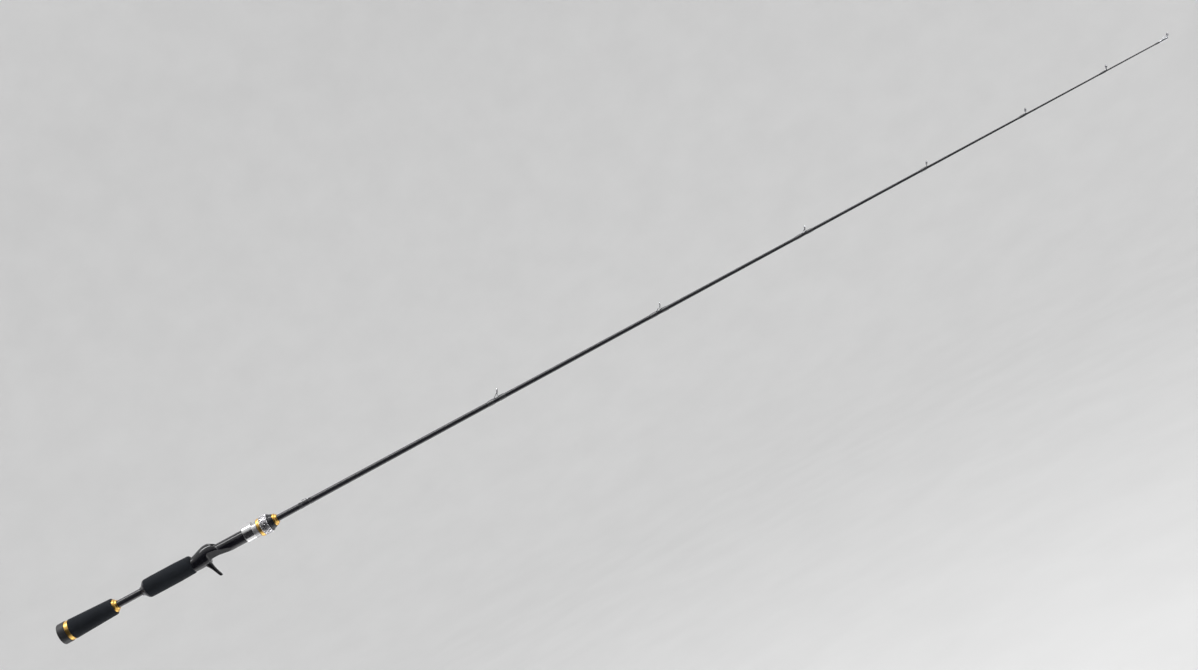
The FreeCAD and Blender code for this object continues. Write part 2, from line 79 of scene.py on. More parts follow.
class Graph:
    """A material's node tree, with short calls for the nodes used here."""

    def __init__(self, name):
        self.material = bpy.data.materials.new(name)
        self.material.use_nodes = True
        self.tree = self.material.node_tree
        self.tree.nodes.clear()
        self.out = self.tree.nodes.new("ShaderNodeOutputMaterial")
        self.bsdf = self.tree.nodes.new("ShaderNodeBsdfPrincipled")
        self.link(self.bsdf.outputs[0], self.out.inputs["Surface"])
        self.height = None

    def link(self, output, socket):
        self.tree.links.new(output, socket)

    def put(self, socket, value):
        """Sets a socket to a number or colour, or links it to another node's output."""
        if isinstance(value, bpy.types.NodeSocket):
            self.link(value, socket)
        else:
            socket.default_value = value

    def node(self, kind, inputs=None, **settings):
        """Adds a node of that kind, with its inputs by name or number and its own settings."""
        made = self.tree.nodes.new("ShaderNode" + kind)
        for key, value in settings.items():
            setattr(made, key, value)
        for key, value in (inputs or {}).items():
            self.put(made.inputs[key], value)
        return made

    def shade(self, **inputs):
        """Sets the shader's own inputs, whose names have _ for a space."""
        for key, value in inputs.items():
            self.put(self.bsdf.inputs[key.replace("_", " ")], value)

    def place(self, scale=(1, 1, 1)):
        """Object coordinates, scaled along each axis. They are in metres."""
        where = self.node("TexCoord")
        return self.node("Mapping", {"Vector": where.outputs["Object"], "Scale": scale}).outputs[0]

    def polar(self, along, round_):
        """Coordinates on a turned piece: distance along X, and the angle around it."""
        split = self.node("SeparateXYZ", {"Vector": self.place()})
        angle = self.math("ARCTAN2", split.outputs["Y"], split.outputs["Z"])
        x = self.math("MULTIPLY", split.outputs["X"], along)
        turn = self.math("MULTIPLY", angle, round_)
        return self.node("CombineXYZ", {"X": x, "Y": turn}).outputs[0]

    def noise(self, vector, scale, detail=3.0, rough=0.5):
        inputs = {"Vector": vector, "Scale": scale, "Detail": detail, "Roughness": rough}
        return self.node("TexNoise", inputs).outputs["Fac"]

    def cells(self, vector, scale):
        """Distance to the middle of the nearest cell of a scattered pattern."""
        inputs = {"Vector": vector, "Scale": scale}
        return self.node("TexVoronoi", inputs, feature="F1").outputs["Distance"]

    def spread(self, value, low, high, to_low=0.0, to_high=1.0):
        """Stretches the range from low to high over another, and holds what is outside it."""
        inputs = {"Value": value, 1: low, 2: high, 3: to_low, 4: to_high}
        return self.node("MapRange", inputs, clamp=True).outputs[0]

    def math(self, operation, a, b=0.0):
        return self.node("Math", {0: a, 1: b}, operation=operation).outputs[0]

    def mix(self, factor, a, b):
        """A colour between a, at 0, and b, at 1."""
        mixed = self.node("Mix", data_type="RGBA")
        for index, value in ((0, factor), (6, a), (7, b)):  # where the node has its colours
            self.put(mixed.inputs[index], value)
        return mixed.outputs[2]

    def bump(self, height, distance, strength=1.0):
        """Adds a bump of that height in metres on top of those already there."""
        inputs = {"Height": height, "Distance": distance, "Strength": strength}
        if self.height:
            inputs["Normal"] = self.height
        self.height = self.node("Bump", inputs).outputs[0]
        self.link(self.height, self.bsdf.inputs["Normal"])


def rgb(r, g, b):
    return (r, g, b, 1.0)


# ---- materials ----------------------------------------------------------------------------
# A texture's scale is how often it repeats in a metre, and a bump's distance is its height.

def foam():
    """Closed-cell grip foam: fine pores in the ground surface with painted shade in them, and paler
    worn patches.
    """
    g = Graph("eva_foam")
    where = g.place()
    skin = g.spread(g.cells(where, 2600.0), 0.05, 0.5)
    pore_shade = g.math("SUBTRACT", 1.0, skin)
    coarse = g.spread(g.cells(where, 900.0), 0.0, 0.35)
    mottle = g.spread(g.noise(where, 60.0, 5.0), 0.3, 0.7)
    worn = g.spread(g.noise(where, 18.0, 3.0), 0.45, 0.75)
    base = g.mix(mottle, rgb(0.0060, 0.0078, 0.0110), rgb(0.0100, 0.0122, 0.0165))
    base = g.mix(g.math("MULTIPLY", worn, 0.3), base, rgb(0.024, 0.027, 0.032))
    # painted shade: the colour darkens in the pores, where the bump dips
    base = g.mix(g.math("MULTIPLY", pore_shade, 0.6), base, rgb(0.004, 0.005, 0.007))
    g.shade(Base_Color=base, Roughness=g.spread(mottle, 0.0, 1.0, 0.72, 0.86))
    g.shade(Sheen_Weight=0.06, Sheen_Roughness=0.4, Specular_IOR_Level=0.15)
    g.bump(skin, 0.09 * MM)
    g.bump(coarse, 0.10 * MM, 0.7)
    return g.material


def rubber():
    """Moulded rubber: a satin skin with fine grain and paler scuffs."""
    g = Graph("butt_rubber")
    where = g.place()
    grain = g.noise(where, 2400.0, 2.0)
    tone = g.spread(g.noise(where, 90.0), 0.3, 0.7)
    scuff = g.spread(g.noise(g.place((1.0, 3.0, 0.6)), 240.0, 6.0, 0.7), 0.55, 0.72)
    base = g.mix(tone, rgb(0.012, 0.012, 0.014), rgb(0.022, 0.022, 0.025))
    base = g.mix(g.math("MULTIPLY", scuff, 0.4), base, rgb(0.05, 0.05, 0.053))
    g.shade(Base_Color=base, Roughness=g.spread(scuff, 0.0, 1.0, 0.46, 0.7))
    g.bump(grain, 0.04 * MM)
    return g.material


def turned_metal(name, low, high, roughness, lines=0.006 * MM, coat=0.0):
    """Metal turned on a lathe: fine rings round the axis and a faint change of colour."""
    g = Graph(name)
    rings = g.noise(g.polar(9000.0, 0.6), 1.0, 4.0, 0.65)
    smudge = g.spread(g.noise(g.place(), 130.0, 4.0), 0.35, 0.7)
    dulled = g.math("MULTIPLY", rings, smudge)
    g.shade(Base_Color=g.mix(smudge, low, high), Metallic=1.0)
    g.shade(Roughness=g.spread(dulled, 0.1, 0.6, roughness, roughness + 0.16))
    g.shade(Coat_Weight=coat, Coat_Roughness=0.05)
    g.bump(rings, lines)
    return g.material


def gold():
    """The trim rings and winding checks: gold anodised aluminium."""
    low, high = rgb(0.78, 0.45, 0.10), rgb(0.88, 0.56, 0.17)
    return turned_metal("gold_metal", low, high, 0.27, coat=0.1)


def knurled():
    """Bright cut metal, with painted shade darkening its grooves."""
    g = Graph("knurled_metal")
    grain = g.noise(g.place(), 1800.0, 4.0, 0.6)
    groove = g.node("Attribute", attribute_name="groove").outputs["Fac"]
    # painted shade: darker and rougher where the grooves sink in, with some grain mixed in
    groove_shade = g.spread(g.math("ADD", groove, g.math("MULTIPLY", grain, 0.3)), 0.45, 1.0)
    bright = g.mix(g.spread(grain, 0.3, 0.7), rgb(0.66, 0.65, 0.68), rgb(0.80, 0.79, 0.81))
    g.shade(Base_Color=g.mix(groove_shade, bright, rgb(0.085, 0.070, 0.100)), Metallic=1.0)
    g.shade(Roughness=g.spread(groove_shade, 0.0, 1.0, 0.16, 0.4))
    g.bump(grain, 0.005 * MM)
    return g.material


def hood_steel():
    """The sliding hood's cover: polished stainless steel."""
    low, high = rgb(0.68, 0.68, 0.69), rgb(0.80, 0.80, 0.80)
    return turned_metal("hood_steel", low, high, 0.14, lines=0.008 * MM)


def dark_collar():
    """The main grip's collar: gunmetal under lacquer."""
    low, high = rgb(0.040, 0.040, 0.046), rgb(0.075, 0.075, 0.084)
    return turned_metal("dark_collar", low, high, 0.24, coat=0.3)


def frame_steel():
    """Pressed stainless sheet, tumbled until it shines."""
    g = Graph("frame_steel")
    where = g.place()
    grain = g.noise(where, 2500.0, 4.0, 0.6)
    tone = g.spread(g.noise(where, 400.0), 0.3, 0.7)
    base = g.mix(tone, rgb(0.52, 0.53, 0.56), rgb(0.70, 0.71, 0.73))
    g.shade(Base_Color=base, Metallic=1.0, Roughness=g.spread(grain, 0.3, 0.7, 0.17, 0.27))
    g.bump(grain, 0.0015 * MM)
    return g.material


def ceramic():
    """Hard polished ring: dense dark oxide with a faint cloudy tone."""
    g = Graph("ring_ceramic")
    where = g.place()
    cloud = g.spread(g.noise(where, 900.0, 4.0), 0.3, 0.7)
    base = g.mix(cloud, rgb(0.10, 0.10, 0.115), rgb(0.19, 0.19, 0.21))
    g.shade(Base_Color=base, Roughness=g.spread(cloud, 0.0, 1.0, 0.08, 0.16))
    g.shade(Coat_Weight=0.5, Coat_Roughness=0.03)
    return g.material


TAPE_PITCH = 4.2 * MM  # of the tape wound round a blank while it cures


def carbon():
    """The blank: rolled carbon under clear gloss, with the faint spiral left by its tape."""
    g = Graph("carbon_blank")
    split = g.node("SeparateXYZ", {"Vector": g.place()})
    angle = g.math("ARCTAN2", split.outputs["Y"], split.outputs["Z"])
    winding = g.math("MULTIPLY", split.outputs["X"], FULL_TURN / TAPE_PITCH)
    spiral = g.math("ADD", winding, angle)
    ridge = g.spread(g.math("SINE", spiral), 0.75, 1.0)
    fibre = g.noise(g.polar(90.0, 60.0), 1.0, 5.0, 0.7)
    base = g.mix(g.spread(fibre, 0.3, 0.7), rgb(0.006, 0.006, 0.008), rgb(0.017, 0.017, 0.022))
    base = g.mix(g.math("MULTIPLY", ridge, 0.5), base, rgb(0.024, 0.024, 0.030))
    g.shade(Base_Color=base, Roughness=0.4, Specular_IOR_Level=0.1)
    g.shade(Coat_Weight=1.0, Coat_Roughness=0.04)
    g.bump(ridge, 0.012 * MM)
    return g.material


def gloss_polymer():
    """The reel seat: a black gloss moulding with a slight orange peel."""
    g = Graph("seat_polymer")
    where = g.place()
    peel = g.noise(where, 520.0, 2.0)
    smudge = g.spread(g.noise(where, 70.0, 5.0), 0.4, 0.7)
    base = g.mix(smudge, rgb(0.004, 0.004, 0.006), rgb(0.009, 0.009, 0.012))
    g.shade(Base_Color=base, Roughness=g.spread(smudge, 0.0, 1.0, 0.10, 0.20))
    g.bump(peel, 0.02 * MM, 0.6)
    return g.material


def satin_polymer(name, low, high, rough, metallic=0.0):
    """A fine-grained moulding; a metallic one is painted or plated."""
    g = Graph(name)
    where = g.place()
    grain = g.noise(where, 3000.0, 3.0)
    base = g.mix(g.spread(g.noise(where, 150.0), 0.3, 0.7), low, high)
    g.shade(Base_Color=base, Roughness=g.spread(grain, 0.3, 0.7, rough, rough + 0.14))
    g.shade(Metallic=metallic)
    g.bump(grain, 0.01 * MM, 0.6)
    return g.material


def hood_polymer():
    """The sliding hood: a plated grey moulding."""
    low, high = rgb(0.40, 0.40, 0.41), rgb(0.52, 0.52, 0.53)
    return satin_polymer("hood_polymer", low, high, 0.2, metallic=0.7)


def nut_polymer():
    """The lock nut: a fine-grained black moulding."""
    low, high = rgb(0.008, 0.008, 0.010), rgb(0.016, 0.016, 0.019)
    return satin_polymer("nut_polymer", low, high, 0.09)


def arbor_foam():
    """The hidden bushings: rigid foam."""
    return satin_polymer("arbor_foam", rgb(0.22, 0.21, 0.19), rgb(0.34, 0.33, 0.30), 0.7)


def wrap_thread():
    """Whipping thread soaked with gloss epoxy."""
    g = Graph("wrap_thread")
    turns = g.noise(g.polar(5200.0, 0.5), 1.0, 2.0)
    base = g.mix(g.spread(turns, 0.35, 0.65), rgb(0.008, 0.008, 0.010), rgb(0.026, 0.026, 0.032))
    g.shade(Base_Color=base, Roughness=0.4, Coat_Weight=1.0, Coat_Roughness=0.03)
    g.bump(g.noise(g.place(), 420.0, 2.0), 0.03 * MM)
    return g.material


def make_materials():
    """The finished material of each of the record's slots."""
    return {
        "eva_foam": foam(),
        "butt_rubber": rubber(),
        "gold_metal": gold(),
        "knurled_metal": knurled(),
        "hood_steel": hood_steel(),
        "dark_collar": dark_collar(),
        "frame_steel": frame_steel(),
        "ring_ceramic": ceramic(),
        "carbon_blank": carbon(),
        "seat_polymer": gloss_polymer(),
        "wrap_thread": wrap_thread(),
        "hood_polymer": hood_polymer(),
        "nut_polymer": nut_polymer(),
        "arbor_foam": arbor_foam(),
    }


MATERIALS = make_materials()


def dress_nodes():
    """Gives every CAD node the finished material of its slot."""
    for node, name in SLOTS.items():
        mesh = NODES[node].data
        mesh.materials.clear()
        mesh.materials.append(MATERIALS[name])


# ---- helpers: meshes ----------------------------------------------------------------------

def stand_for(node, mesh, sharp=35.0):
    """Shades a finished mesh smooth and puts it in the place of a CAD node.

    An edge stays sharp where the surface turns by more than that many degrees.
    """
    mesh.polygons.foreach_set("use_smooth", [True] * len(mesh.polygons))
    mesh.set_sharp_from_angle(angle=math.radians(sharp))
    mesh.materials.append(MATERIALS[SLOTS[node]])
    piece = bpy.data.objects.new(node + "_skin", mesh)
    SCENE.collection.objects.link(piece)
    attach(piece, BODIES[node])
    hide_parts(node)
    return piece


def grid_mesh(name, sheets):
    """A mesh from sheets of (rows, closed): rows of points wound round and joined in order."""
    bm = bmesh.new()
    for rows, closed in sheets:
        made = [[bm.verts.new(p) for p in row] for row in rows]
        count, around = len(made), len(made[0])
        for i in range(count if closed else count - 1):
            here, there = made[i], made[(i + 1) % count]
            for j in range(around):
                k = (j + 1) % around
                bm.faces.new((here[j], here[k], there[k], there[j]))
    bmesh.ops.remove_doubles(bm, verts=bm.verts, dist=TINY)
    bmesh.ops.dissolve_degenerate(bm, edges=bm.edges, dist=TINY / 10)
    bmesh.ops.recalc_face_normals(bm, faces=bm.faces)
    mesh = bpy.data.meshes.new(name)
    bm.to_mesh(mesh)
    bm.free()
    return mesh


def half_section(node):
    """The outline a turned CAD node was turned from, as (x, radius), and whether it closes."""
    bm = bmesh.new()
    bm.from_mesh(NODES[node].data)
    bmesh.ops.remove_doubles(bm, verts=bm.verts, dist=TINY)
    # Keep the upper half, then cut it along the plane y = 0, where the outline lies.
    for normal, clear in (((0, 0, 1), True), ((0, 1, 0), False)):
        geometry = bm.verts[:] + bm.edges[:] + bm.faces[:]
        bmesh.ops.bisect_plane(
            bm, geom=geometry, dist=TINY, plane_co=(0, 0, 0), plane_no=normal, clear_inner=clear
        )
    flat = {v for v in bm.verts if abs(v.co.y) < 2 * TINY}
    nearby = {v: [e.other_vert(v) for e in v.link_edges if e.other_vert(v) in flat] for v in flat}
    ends = [v for v in flat if len(nearby[v]) == 1]
    here = min(ends or flat, key=lambda v: (v.co.x, -v.co.z))
    chain, seen = [], set()
    while here:
        chain.append((here.co.x, here.co.z))
        seen.add(here)
        here = next((v for v in nearby[here] if v not in seen), None)
    bm.free()
    return chain, not ends


def turn_at(before, here, after):
    """How far an outline turns at a point, in degrees."""
    a = Vector(here) - Vector(before)
    b = Vector(after) - Vector(here)
    return math.degrees(a.angle(b)) if a.length > 0 and b.length > 0 else 0.0


def straightened(points, closed):
    """An outline without the points that lie on its straight runs."""
    count = len(points)
    kept = []
    for i, here in enumerate(points):
        (x0, r0), (x1, r1) = points[i - 1], points[(i + 1) % count]
        span = math.hypot(x1 - x0, r1 - r0)
        off = abs((x1 - x0) * (here[1] - r0) - (r1 - r0) * (here[0] - x0)) / max(span, TINY)
        if off > TINY or not (closed or 0 < i < count - 1):
            kept.append(here)
    return kept


CORNER = 18.0  # degrees: an outline's corner is one that turns by more than this
CORNER_SHARE = 0.4  # the most of a side that the rounding of one corner takes
CORNER_STEPS = 4


def rounded(points, closed, radius):
    """An outline with its corners rounded."""
    count = len(points)
    made = []
    for i, here in enumerate(points):
        before, after = points[i - 1], points[(i + 1) % count]
        inner = closed or 0 < i < count - 1
        if not inner or turn_at(before, here, after) < CORNER:
            made.append(here)
            continue
        corner = Vector(here)
        back, ahead = Vector(before) - corner, Vector(after) - corner
        reach = min(radius, CORNER_SHARE * back.length, CORNER_SHARE * ahead.length)
        start, end = corner + back.normalized() * reach, corner + ahead.normalized() * reach
        for step in range(CORNER_STEPS + 1):
            t = step / CORNER_STEPS
            made.append(tuple(start.lerp(corner, t).lerp(corner.lerp(end, t), t)))
    return made


def densified(points, closed, longest):
    """Adds points to an outline so that no stretch is longer than that."""
    pairs = list(zip(points, points[1:] + points[:1] if closed else points[1:]))
    dense = []
    for (x0, r0), (x1, r1) in pairs:
        pieces = max(1, math.ceil(math.hypot(x1 - x0, r1 - r0) / longest))
        dense += [(x0 + (x1 - x0) * i / pieces, r0 + (r1 - r0) * i / pieces) for i in range(pieces)]
    return dense if closed else dense + [points[-1]]


def circle(x, radius, around, turn=0.0):
    """A row of points round the X axis; the radius may differ from point to point."""
    angle = np.arange(around) * FULL_TURN / around + turn
    return np.column_stack((np.full(around, x), radius * np.sin(angle), radius * np.cos(angle)))


def lathed(node, around, longest, edge=0.15 * MM, change=lambda x, r: r, cut=lambda points: points):
    """A turned CAD node remade as a fine round mesh with softened edges.

    It has that many points around, longest is the most between two rows, and edge is how far a
    corner's rounding reaches. change gives a row's radii, and cut alters the outline.
    """
    points, closed = half_section(node)
    points = rounded(cut(straightened(points, closed)), closed, edge)
    points = densified(points, closed, longest)
    low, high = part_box(node)
    rows = [np.clip(circle(x, change(x, r), around), low, high) for x, r in points]
    return stand_for(node, grid_mesh(node + "_skin", [(rows, closed)]))


TAUBIN_STEPS = (0.5, -0.52)  # shares of the way to the mean of a point's neighbours


def smoothed(points, edges, free, rounds):
    """Taubin smoothing: in and out again by turns, so that the shape doesn't shrink."""
    degree = np.bincount(edges.ravel(), minlength=len(points)).reshape(-1, 1)
    for step in TAUBIN_STEPS * rounds:
        total = np.zeros_like(points)
        for axis in range(3):
            total[:, axis] = np.bincount(edges[:, 0], points[edges[:, 1], axis], len(points))
            total[:, axis] += np.bincount(edges[:, 1], points[edges[:, 0], axis], len(points))
        points = points + free * step * (total / degree - points)
    return points


def softened(node, voxel, rounds, free=lambda points: np.ones(len(points))):
    """A CAD node remade as one skin of small even faces, with its edges slightly rounded.

    free gives each point's share of the smoothing, from 0, held, to 1, free.
    """
    source = bpy.data.objects.new("source", NODES[node].data.copy())
    SCENE.collection.objects.link(source)
    remesh = source.modifiers.new("remesh", "REMESH")
    remesh.mode = "VOXEL"
    remesh.voxel_size = voxel
    bpy.context.view_layer.update()
    depsgraph = bpy.context.evaluated_depsgraph_get()
    mesh = bpy.data.meshes.new_from_object(source.evaluated_get(depsgraph))
    mesh.name = node + "_skin"
    mesh.materials.clear()
    bpy.data.objects.remove(source)
    points = np.empty(len(mesh.vertices) * 3)
    mesh.vertices.foreach_get("co", points)
    points = points.reshape(-1, 3)
    edges = np.empty(len(mesh.edges) * 2, dtype=int)
    mesh.edges.foreach_get("vertices", edges)
    moved = smoothed(points, edges.reshape(-1, 2), free(points).reshape(-1, 1), rounds)
    low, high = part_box(node)
    mesh.vertices.foreach_set("co", np.clip(moved, low, high).ravel())
    mesh.update()
    return stand_for(node, mesh, sharp=60.0)


# ---- pieces -------------------------------------------------------------------------------

FOAM_AROUND = 224
FOAM_INSIDE = 9 * MM  # a grip's surface nearer to the axis than this is its bore
DIMPLE_DEPTH = 0.06 * MM
DIMPLES, FINE_DIMPLES = 900.0, 2200.0  # in a metre


def foam_skin(x, radius):
    """The ground surface of a foam grip: shallow dimples, all of them inwards."""
    if radius < FOAM_INSIDE:
        return radius
    dents = []
    for place in map(Vector, circle(x, radius, FOAM_AROUND)):
        fine = noise.noise(place * FINE_DIMPLES)
        dents.append(0.5 + 0.5 * noise.noise(place * DIMPLES) + 0.35 * fine)
    return radius - DIMPLE_DEPTH * np.clip(dents, 0.0, 1.0)


CAP_RING = (11.6 * MM, 12.9 * MM, 0.5 * MM)  # inner and outer radius and depth


def ringed(points):
    """Cuts a shallow ring into the flat end face that starts an outline."""
    inner, outer, depth = CAP_RING
    slope = depth / 2
    made = []
    for (x0, r0), (x1, r1) in zip(points, points[1:]):
        made.append((x0, r0))
        if abs(x0) < TINY and abs(x1) < TINY and min(r0, r1) < inner and max(r0, r1) > outer:
            ring = [(0, inner), (depth, inner + slope), (depth, outer - slope), (0, outer)]
            made += ring if r1 > r0 else ring[::-1]
    return made + [points[-1]]


SMALL_TURNED = (
    "butt_trim_ring", "rear_winding_check", "main_grip_collar", "front_winding_check",
    "lock_nut", "nut_trim_ring",
)


def turned_pieces():
    """The blank, the butt cap, the foam grips, and the rings, checks, collar and nut."""
    lathed("blank", around=72, longest=12 * MM)
    lathed("butt_cap", around=160, longest=0.6 * MM, edge=0.3 * MM, cut=ringed)
    for node in ("rear_grip", "main_grip"):
        grip = lathed(node, FOAM_AROUND, longest=0.45 * MM, edge=0.4 * MM, change=foam_skin)
    for node in SMALL_TURNED:
        lathed(node, around=160, longest=0.4 * MM)


KNURL_FLUTES = 18
KNURL_DEPTH = 1.0 * MM
KNURL_SLANT = 1.7  # flutes that a groove crosses from one end to the other
KNURL_WIDTH = 0.45  # half a groove's width, as a sine that is 1 halfway to the next groove
KNURL_FADE = 0.1  # share of the ring's length over which the grooves run out at each end
KNURL_AROUND, KNURL_ROWS = 720, 80
BARREL_WALL = 1.0 * MM  # what lies further out than this from the bore is the barrel


def knurled_ring():
    """The lock nut's grip ring: a barrel with crossed diagonal grooves cut in it."""
    node = "nut_knurled_ring"
    low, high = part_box(node)
    points, _ = half_section(node)
    bore = min(r for _, r in points)
    crown = sorted((x, r) for x, r in points if r > bore + BARREL_WALL)
    xs = np.linspace(low.x, high.x, KNURL_ROWS)
    barrel = np.interp(xs, [x for x, _ in crown], [r for _, r in crown])
    angle = np.arange(KNURL_AROUND) * FULL_TURN / KNURL_AROUND
    rows = []
    for x, radius in zip(xs, barrel):
        part = (x - low.x) / (high.x - low.x)
        twist = (part - 0.5) * KNURL_SLANT * FULL_TURN / KNURL_FLUTES
        fade = min(1.0, min(part, 1 - part) / KNURL_FADE)
        left, right = (
            np.abs(np.sin(KNURL_FLUTES / 2 * (angle + side * twist))) for side in (-1, 1)
        )
        groove = np.clip(1 - np.minimum(left, right) / KNURL_WIDTH, 0, 1) * fade
        rows.append(circle(x, radius - KNURL_DEPTH * groove, KNURL_AROUND))
    rows += [circle(x, bore, KNURL_AROUND) for x in (high.x, low.x)]
    mesh = grid_mesh(node + "_skin", [(rows, True)])
    place = np.array([v.co[:] for v in mesh.vertices])
    radius = np.hypot(place[:, 1], place[:, 2])
    level = np.interp(place[:, 0], xs, barrel)
    outside = radius > bore + BARREL_WALL / 2
    sunk = np.where(outside, np.clip((level - radius) / KNURL_DEPTH, 0, 1), 0)
    mesh.attributes.new("groove", "FLOAT", "POINT").data.foreach_set("value", sunk)
    stand_for(node, mesh, sharp=50.0)


COVER_WALL = 0.5 * MM
COVER_ROLL = 0.5 * MM  # radius of the cover's rolled rims
COVER_AROUND, COVER_LANDS, ROLL_STEPS = 192, 12, 6


def hood_cover():
    """The polished sleeve over the sliding hood: an oval tube with rolled rims."""
    node = "hood_cover"
    low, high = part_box(node)
    centre, semi_y, semi_z = (low.z + high.z) / 2, high.y, (high.z - low.z) / 2
    rim = []
    for step in range(ROLL_STEPS + 1):
        a = math.pi / 2 * step / ROLL_STEPS
        rim.append((COVER_ROLL * (1 - math.cos(a)), COVER_ROLL * (1 - math.sin(a))))
    span = high.x - low.x - 2 * COVER_ROLL
    outside = [(low.x + x, sink) for x, sink in rim]
    for land in range(1, COVER_LANDS):
        outside.append((low.x + COVER_ROLL + span * land / COVER_LANDS, 0.0))
    outside += [(high.x - x, sink) for x, sink in reversed(rim)]
    inside = [(x, COVER_WALL + TINY) for x in (high.x, low.x)]
    angle = np.arange(COVER_AROUND) * FULL_TURN / COVER_AROUND
    rows = []
    for x, sink in outside + inside:
        y = (semi_y - sink) * np.sin(angle)
        z = centre + (semi_z - sink) * np.cos(angle)
        rows.append(np.column_stack((np.full(COVER_AROUND, x), y, z)))
    stand_for(node, grid_mesh(node + "_skin", [(rows, True)]))


INSERT_AROUND, INSERT_SECTION = 96, 28
INSERT_SQUARE = 0.65  # power that squares the ring's section: 1 is an ellipse, 0 a square


def squared(part):
    """A sine or cosine, drawn out towards 1 or -1."""
    return math.copysign(abs(part) ** INSERT_SQUARE, part)


def guide_insert(node):
    """A guide's hard ring, turned about its own leaning axis, with a full round bore."""
    mount = MOUNTS[node.replace("_ring", "_bore")]
    centre, axis = np.array(mount["pos_m"]), np.array(mount["axis"])
    points = np.array([v.co[:] for v in NODES[node].data.vertices]) - centre
    along = points @ axis
    radius = np.sqrt(np.maximum((points ** 2).sum(axis=1) - along ** 2, 0))
    half, inner, outer = along.max(), radius.min(), radius.max()
    side = np.array((0.0, 1.0, 0.0))
    up = np.cross(axis, side)
    turn = np.arange(INSERT_AROUND)[:, None] * FULL_TURN / INSERT_AROUND
    spokes = np.cos(turn) * side + np.sin(turn) * up
    rows = []
    for i in range(INSERT_SECTION):
        a = FULL_TURN * i / INSERT_SECTION
        x = half * squared(math.cos(a))
        r = (inner + outer) / 2 + (outer - inner) / 2 * squared(math.sin(a))
        rows.append(centre + x * axis + r * spokes)
    stand_for(node, grid_mesh(node + "_skin", [(rows, True)]))


def blank_radius():
    """The blank's outer radius as a function of x."""
    points = straightened(*half_section("blank"))
    tip = max(range(len(points)), key=lambda i: points[i])
    sides = [np.array(points[:tip + 1]), np.array((points[tip:] + points[:1])[::-1])]
    return lambda x: max(float(np.interp(x, side[:, 0], side[:, 1])) for side in sides)


LONGEST_SLEEVE = 13 * MM  # a wraps node longer than this holds two whippings


def sleeves(node):
    """Where each whipping of a wraps node starts and ends along the blank."""
    xs = np.unique([round(v.co.x, 6) for v in NODES[node].data.vertices])
    if xs[-1] - xs[0] < LONGEST_SLEEVE:
        return [(xs[0], xs[-1])]
    middle = (xs[0] + xs[-1]) / 2
    return [(xs[0], xs[xs < middle].max()), (xs[xs > middle].min(), xs[-1])]


WHIP_AROUND = 80
THREAD_PITCH = 0.36 * MM
THREAD_ROWS = 4  # rows of points to one turn of thread
THREAD_PROUD = 0.02 * MM  # how far each turn stands out of the epoxy
WHIP_THICK = 0.34 * MM
WHIP_RAMP = 1.7 * MM  # length over which a whipping swells to its full thickness
WHIP_SUNK = 0.15 * MM  # how far its inner face is inside the blank
TENT_SPREAD = 1.5  # half width of the thread drawn over a foot, in half widths of the foot


def whipping(start, end, foot, turn, under):
    """One thread whipping as rows of points: turns of thread drawn up over a tapering foot."""
    count = int((end - start) / THREAD_PITCH * THREAD_ROWS)
    angle = (np.arange(WHIP_AROUND) * FULL_TURN / WHIP_AROUND + math.pi) % FULL_TURN - math.pi
    rows = []
    for i in range(count + 1):
        part = i / count
        x = start + (end - start) * part
        core = under(x)
        reach = min(x - start, end - x)
        swell = math.sqrt(max(0.0, 1 - (1 - min(1.0, reach / WHIP_RAMP)) ** 2))
        height, half_width = foot(x)
        tent = np.exp(-(angle * core / (half_width * TENT_SPREAD)) ** 2) * height
        thread = 0.5 + 0.5 * math.sin(FULL_TURN * (x - start) / THREAD_PITCH)
        proud = swell * (WHIP_THICK + tent) + THREAD_PROUD * thread * swell
        rows.append(circle(x, core + proud, WHIP_AROUND, turn))
    inner = [circle(x, under(x) - WHIP_SUNK, WHIP_AROUND, turn) for x in (end, start)]
    return rows + inner, True


FOOT_RUN_OUT = 0.1  # share of a whipping over which its foot's end runs out
FOOT_NARROWING = 0.6  # how fast a foot narrows, as a share of how fast it gets lower


def whippings(node, near, height, half_width, fall=0.6, reach=0.86, turn=0.0):
    """All the whippings of a node; near is the x that its feet point away from.

    Each foot loses that share of its height (fall) and ends at that share of the whipping (reach).
    """
    under = blank_radius()
    sheets = []
    for start, end in sleeves(node):
        ahead = start > near

        def foot(x, ahead=ahead, start=start, end=end):
            run = (x - start if ahead else end - x) / (end - start)
            left = max(0.0, min(1.0, (reach - run) / FOOT_RUN_OUT))
            width = half_width * (1 - fall * FOOT_NARROWING * run)
            return height * (1 - fall * run) * left, width

        sheets.append(whipping(start, end, foot, turn, under))
    stand_for(node, grid_mesh(node + "_skin", sheets))


def keeper_turn():
    """How far round the blank the hook keeper sits."""
    top = max(NODES["hook_keeper"].data.vertices, key=lambda v: math.hypot(v.co.y, v.co.z)).co
    return math.atan2(top.y, top.z)


GUIDE_COUNT = 6
FEET_BEHIND_RING = 4 * MM  # a guide's feet run away from a place this far behind its ring


def middle_of(node):
    low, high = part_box(node)
    return (low.x + high.x) / 2


def guides():
    """The line guides: each has a hard ring, a pressed frame and whippings over its feet."""
    for number in range(1, GUIDE_COUNT + 1):
        name = f"guide_{number}_"
        guide_insert(name + "ring")
        softened(name + "frame", voxel=0.11 * MM, rounds=18)
        near = middle_of(name + "ring") - FEET_BEHIND_RING
        whippings(name + "wraps", near, height=0.55 * MM, half_width=1.2 * MM)


def tip_top():
    """The guide at the tip, whose tube is whipped all round."""
    guide_insert("tip_top_ring")
    softened("tip_top_frame", voxel=0.10 * MM, rounds=16)
    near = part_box("tip_top_ring")[1].x
    whippings("tip_top_wrap", near, height=0.0, half_width=1.0 * MM)


